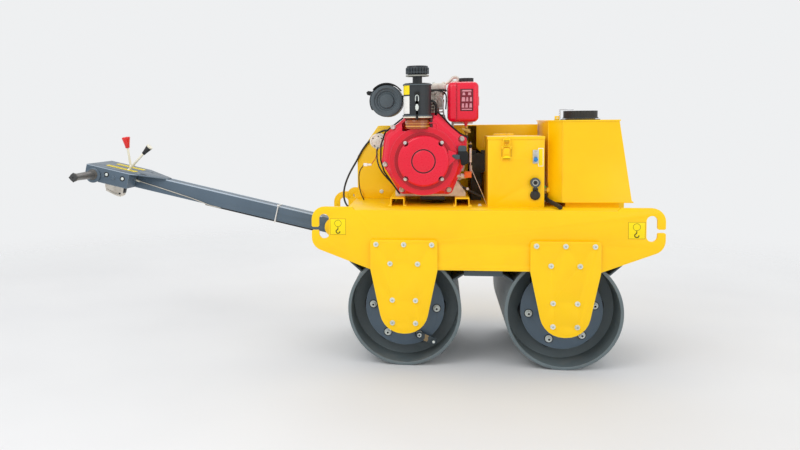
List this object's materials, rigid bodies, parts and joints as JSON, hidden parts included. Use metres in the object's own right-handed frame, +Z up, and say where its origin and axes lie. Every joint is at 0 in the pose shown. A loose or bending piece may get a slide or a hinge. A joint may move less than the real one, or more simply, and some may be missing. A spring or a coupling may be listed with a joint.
{
  "type": "walk behind vibratory roller",
  "caption": "Walk-behind double drum vibratory roller with a folding drawbar, air-cooled diesel engine, water tank and lifting slots.",
  "frame": {"origin": "middle of the whole machine's length and width, on the ground under the drums", "axes": "+X along the machine away from the drawbar, +Y across the machine to the belt hood's side, +Z up"},
  "size_m": [2.2674, 0.684, 1.133],
  "materials": {
    "yellow_paint": "gloss powder coat",
    "zinc": "zinc plated",
    "slate_paint": "semi-gloss paint, worn on the drums' edges",
    "dark_iron": "dark satin paint",
    "steel": "machined",
    "rubber": "matt",
    "cable_black": "satin sheath",
    "cable_white": "satin sheath",
    "black_plastic": "satin, faintly grained",
    "red_plastic": "gloss",
    "blue_plastic": "gloss",
    "green_plastic": "gloss",
    "amber_plastic": "translucent amber",
    "brass": "cast, dull",
    "cast_aluminium": "as cast",
    "red_paint": "gloss enamel"
  },
  "bodies": {
    "frame": {"side_plate_near": "yellow_paint", "side_plate_far": "yellow_paint", "deck": "yellow_paint", "drum_brackets": "yellow_paint", "frame_bolts": "zinc", "drum_hubs": "dark_iron", "scrapers": "dark_iron", "belt_hood": "yellow_paint", "hydraulic_pump": "dark_iron", "drive_belt": "rubber", "box_body": "yellow_paint", "battery": "black_plastic", "switch_plate": "zinc", "key_switch": "black_plastic", "water_tank": "yellow_paint", "drain_valve": "brass", "drain_hose": "rubber", "crankcase": "cast_aluminium", "engine_cylinder": "cast_aluminium", "fan_cowling": "red_paint", "recoil_housing": "red_paint", "muffler": "dark_iron", "air_cleaner": "black_plastic", "oil_bowl": "amber_plastic", "fuel_tank": "red_paint", "starter_motor": "cast_aluminium", "engine_fittings": "cast_aluminium", "engine_bolts": "zinc", "drawbar_pivot": "yellow_paint", "machine_cable": "cable_black"},
    "rear_roller": {"rear_drum": "slate_paint", "rear_discs": "slate_paint", "rear_buffers": "rubber", "rear_disc_bolts": "zinc"},
    "rear_exciter": {"rear_exciter": "steel"},
    "front_roller": {"front_drum": "slate_paint", "front_discs": "slate_paint", "front_buffers": "rubber", "front_disc_bolts": "zinc"},
    "front_exciter": {"front_exciter": "steel"},
    "crank": {"crankshaft": "steel", "crank_pulley": "dark_iron"},
    "pump_drive": {"pump_pulley": "dark_iron"},
    "lid": {"box_lid": "yellow_paint"},
    "latch": {"box_latch": "yellow_paint"},
    "button": {"start_button": "blue_plastic"},
    "key": {"key_barrel": "zinc"},
    "dust_cap": {"dust_cap": "black_plastic"},
    "tank_cap": {"tank_cap": "black_plastic"},
    "cap_lever": {"cap_lever": "zinc"},
    "drain_cock": {"valve_handle": "green_plastic"},
    "starter_grip": {"pull_handle": "black_plastic"},
    "fuel_cap": {"fuel_cap": "black_plastic"},
    "handle": {"drawbar": "slate_paint", "control_head": "slate_paint", "handlebar": "black_plastic", "control_valve": "cast_aluminium", "bar_cable": "cable_white"},
    "red_lever": {"red_lever": "red_plastic"},
    "black_lever": {"black_lever": "black_plastic"}
  },
  "joints": [
    {"name": "rear_drum_spin", "type": "hinge", "parent": "frame", "child": "rear_roller", "pos_m": [0.20415, 0, 0.213], "axis": [0, 1, 0], "continuous": true},
    {"name": "front_drum_spin", "type": "hinge", "parent": "frame", "child": "front_roller", "pos_m": [0.78715, 0, 0.213], "axis": [0, 1, 0], "continuous": true},
    {"name": "rear_exciter_spin", "type": "hinge", "parent": "rear_roller", "child": "rear_exciter", "pos_m": [0.20415, 0, 0.213], "axis": [0, 1, 0], "continuous": true},
    {"name": "front_exciter_spin", "type": "hinge", "parent": "front_roller", "child": "front_exciter", "pos_m": [0.78715, 0, 0.213], "axis": [0, 1, 0], "continuous": true},
    {"name": "crank_spin", "type": "hinge", "parent": "frame", "child": "crank", "pos_m": [0.27565, 0, 0.768], "axis": [0, 1, 0], "continuous": true},
    {"name": "pump_spin", "type": "hinge", "parent": "frame", "child": "pump_drive", "pos_m": [0.49465, 0, 0.745], "axis": [0, 1, 0], "continuous": true},
    {"name": "lid_open", "type": "hinge", "parent": "frame", "child": "lid", "pos_m": [0.59065, 0.0024, 0.861], "axis": [-1, 0, 0], "range_deg": [0, 100]},
    {"name": "latch_open", "type": "hinge", "parent": "frame", "child": "latch", "pos_m": [0.58665, -0.20525, 0.777], "axis": [1, 0, 0], "range_deg": [0, 100]},
    {"name": "button_press", "type": "slide", "parent": "frame", "child": "button", "axis": [0, 1, 0], "range_m": [0, 0.0025], "stiffness_N_per_m": 400, "springref_m": -0.002},
    {"name": "key_turn", "type": "hinge", "parent": "frame", "child": "key", "pos_m": [0.69365, -0.2, 0.686], "axis": [0, -1, 0], "range_deg": [0, 60]},
    {"name": "dust_cap_flip", "type": "hinge", "parent": "frame", "child": "dust_cap", "pos_m": [0.69365, -0.212, 0.662], "axis": [-1, 0, 0], "range_deg": [0, 175]},
    {"name": "tank_cap_turn", "type": "hinge", "parent": "frame", "child": "tank_cap", "pos_m": [0.88065, -0.06, 0.92], "axis": [0, 0, 1], "range_deg": [0, 90]},
    {"name": "cap_lever_lift", "type": "hinge", "parent": "frame", "child": "cap_lever", "pos_m": [0.79265, -0.06, 0.928], "axis": [0, -1, 0], "range_deg": [0, 100]},
    {"name": "drain_cock_turn", "type": "hinge", "parent": "frame", "child": "drain_cock", "pos_m": [0.73615, -0.152, 0.663], "axis": [0, 0, 1], "range_deg": [0, 90]},
    {"name": "starter_pull", "type": "slide", "parent": "frame", "child": "starter_grip", "axis": [0.6, -0.8, 0], "range_m": [0, 0.5], "stiffness_N_per_m": 30, "springref_m": -0.3},
    {"name": "fuel_cap_turn", "type": "hinge", "parent": "frame", "child": "fuel_cap", "pos_m": [0.44265, -0.04, 1.076], "axis": [0, 0, 1], "range_deg": [0, 90]},
    {"name": "handle_fold", "type": "hinge", "parent": "frame", "child": "handle", "pos_m": [-0.09435, 0, 0.487], "axis": [0, 1, 0], "range_deg": [0, 75]},
    {"name": "red_lever_move", "type": "hinge", "parent": "handle", "child": "red_lever", "pos_m": [-1.00894, 0.07, 0.69973], "axis": [0, 1, 0], "range_deg": [0, 41]},
    {"name": "black_lever_move", "type": "hinge", "parent": "handle", "child": "black_lever", "pos_m": [-1.00894, -0.025, 0.69973], "axis": [0, -1, 0], "range_deg": [0, 63]}
  ],
  "couplings": [
    {"joint": "front_drum_spin", "follows": "rear_drum_spin", "ratio": 1},
    {"joint": "front_exciter_spin", "follows": "rear_exciter_spin", "ratio": 1},
    {"joint": "pump_spin", "follows": "crank_spin", "ratio": 1.3562}
  ]
}
